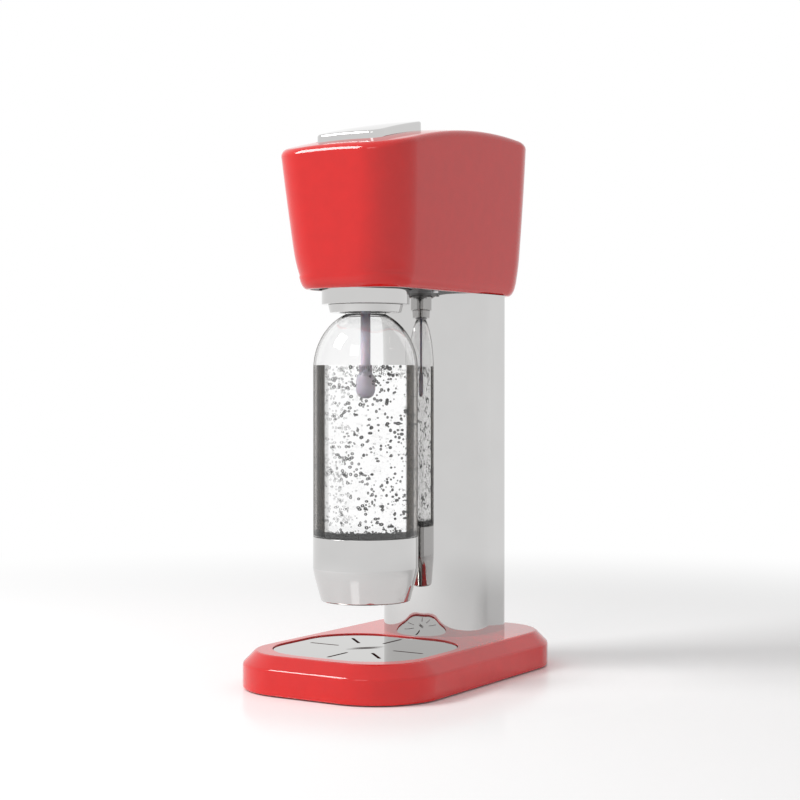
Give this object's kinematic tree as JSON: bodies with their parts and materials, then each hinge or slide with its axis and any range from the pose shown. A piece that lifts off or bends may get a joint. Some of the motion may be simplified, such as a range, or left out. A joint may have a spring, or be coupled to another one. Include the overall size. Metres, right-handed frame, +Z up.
{
  "type": "sparkling water maker",
  "caption": "Counter-top sparkling water maker: chamfered base with drip tray, chrome column with gas cylinder, domed head with press plate, tilting holder and clear bottle.",
  "frame": {"origin": "centre of the footprint, on the surface that the feet rest on", "axes": "+Z up, -Y towards the user at the bottle's side, +X to the right as seen from +Y looking to the front"},
  "size_m": [0.17, 0.276, 0.45],
  "materials": {
    "red_gloss": "high gloss, moulded",
    "chrome": "mirror polished",
    "steel": "plain bright steel",
    "grate_steel": "polished sheet",
    "dark_plastic": "fine moulded texture",
    "grey_plastic": "plain moulded",
    "rubber": "matt",
    "aluminium": "drawn, satin",
    "brass": "turned",
    "clear_bottle": "clear, glossy",
    "nozzle_plastic": "translucent grey",
    "hose": "flexible tube"
  },
  "bodies": {
    "stand": {"base_shell": "red_gloss", "base_cover": "dark_plastic", "rubber_feet": "rubber", "base_screws": "steel", "column_shell": "chrome", "frame_cage": "grey_plastic", "cage_screws": "steel", "cylinder_seat": "rubber", "head_floor": "dark_plastic", "head_shell": "red_gloss", "head_screws": "steel", "head_chassis": "grey_plastic", "valve_block": "dark_plastic", "block_screws": "steel", "valve_seal": "rubber", "relief_valve": "brass", "gas_hose": "hose", "hose_elbow": "brass", "lever_pin": "steel", "lever_spring": "steel", "holder_pin": "steel"},
    "press": {"press_plate": "chrome", "press_lever": "dark_plastic"},
    "plunger": {"plunger": "steel"},
    "gas_cylinder": {"gas_cylinder": "aluminium", "cylinder_valve": "brass"},
    "valve_pin": {"valve_pin": "steel"},
    "holder": {"holder_yoke": "dark_plastic", "collar_ring": "chrome", "collar_mouth": "chrome", "thread_insert": "grey_plastic", "neck_seal": "rubber", "nozzle_tube": "nozzle_plastic", "nozzle_tip": "nozzle_plastic", "nozzle_nut": "brass"},
    "bottle_foot": {"bottle_cup": "chrome"},
    "bottle": {"bottle_body": "clear_bottle"},
    "drip_tray": {"drip_bowl": "red_gloss"},
    "drip_grate": {"drip_grate": "grate_steel"},
    "rear_cover": {"rear_cover": "chrome"}
  },
  "joints": [
    {"name": "press_plate_pivot", "type": "hinge", "parent": "stand", "child": "press", "pos_m": [0, 0.1, 0.418], "axis": [1, 0, 0], "range_deg": [0, 1.8], "stiffness_Nm_per_rad": 12.8, "springref_deg": -8.59, "deforming": ["lever_spring"]},
    {"name": "plunger_slide", "type": "slide", "parent": "stand", "child": "plunger", "axis": [0, 0, -1], "range_m": [0, 0.0013]},
    {"name": "valve_pin_slide", "type": "slide", "parent": "gas_cylinder", "child": "valve_pin", "axis": [0, 0, -1], "range_m": [0, 0.0013]},
    {"name": "gas_cylinder_turn", "type": "hinge", "parent": "stand", "child": "gas_cylinder", "pos_m": [0, 0.062, 0.033], "axis": [0, 0, 1], "continuous": true},
    {"name": "holder_tilt", "type": "hinge", "parent": "stand", "child": "holder", "pos_m": [0, -0.08, 0.3198], "axis": [-1, 0, 0], "range_deg": [0, 12]},
    {"name": "bottle_drop", "type": "slide", "parent": "holder", "child": "bottle_foot", "axis": [0, 0, -1], "range_m": [0, 0.0151]},
    {"name": "bottle_turn", "type": "hinge", "parent": "bottle_foot", "child": "bottle", "pos_m": [0, -0.053, 0.067], "axis": [0, 0, -1], "range_deg": [0, 1080]},
    {"name": "drip_tray_lift", "type": "slide", "parent": "stand", "child": "drip_tray", "axis": [0, 0, 1], "range_m": [0, 0.007]},
    {"name": "drip_grate_lift", "type": "slide", "parent": "drip_tray", "child": "drip_grate", "axis": [0, 0, 1], "range_m": [0, 0.006]},
    {"name": "rear_cover_pull", "type": "slide", "parent": "stand", "child": "rear_cover", "axis": [0, 1, 0], "range_m": [0, 0.03]}
  ],
  "couplings": [
    {"joint": "plunger_slide", "follows": "press_plate_pivot", "m_per_rad": 0.038},
    {"joint": "valve_pin_slide", "follows": "press_plate_pivot", "m_per_rad": 0.038},
    {"joint": "bottle_drop", "follows": "bottle_turn", "m_per_rad": 0.00079577}
  ]
}
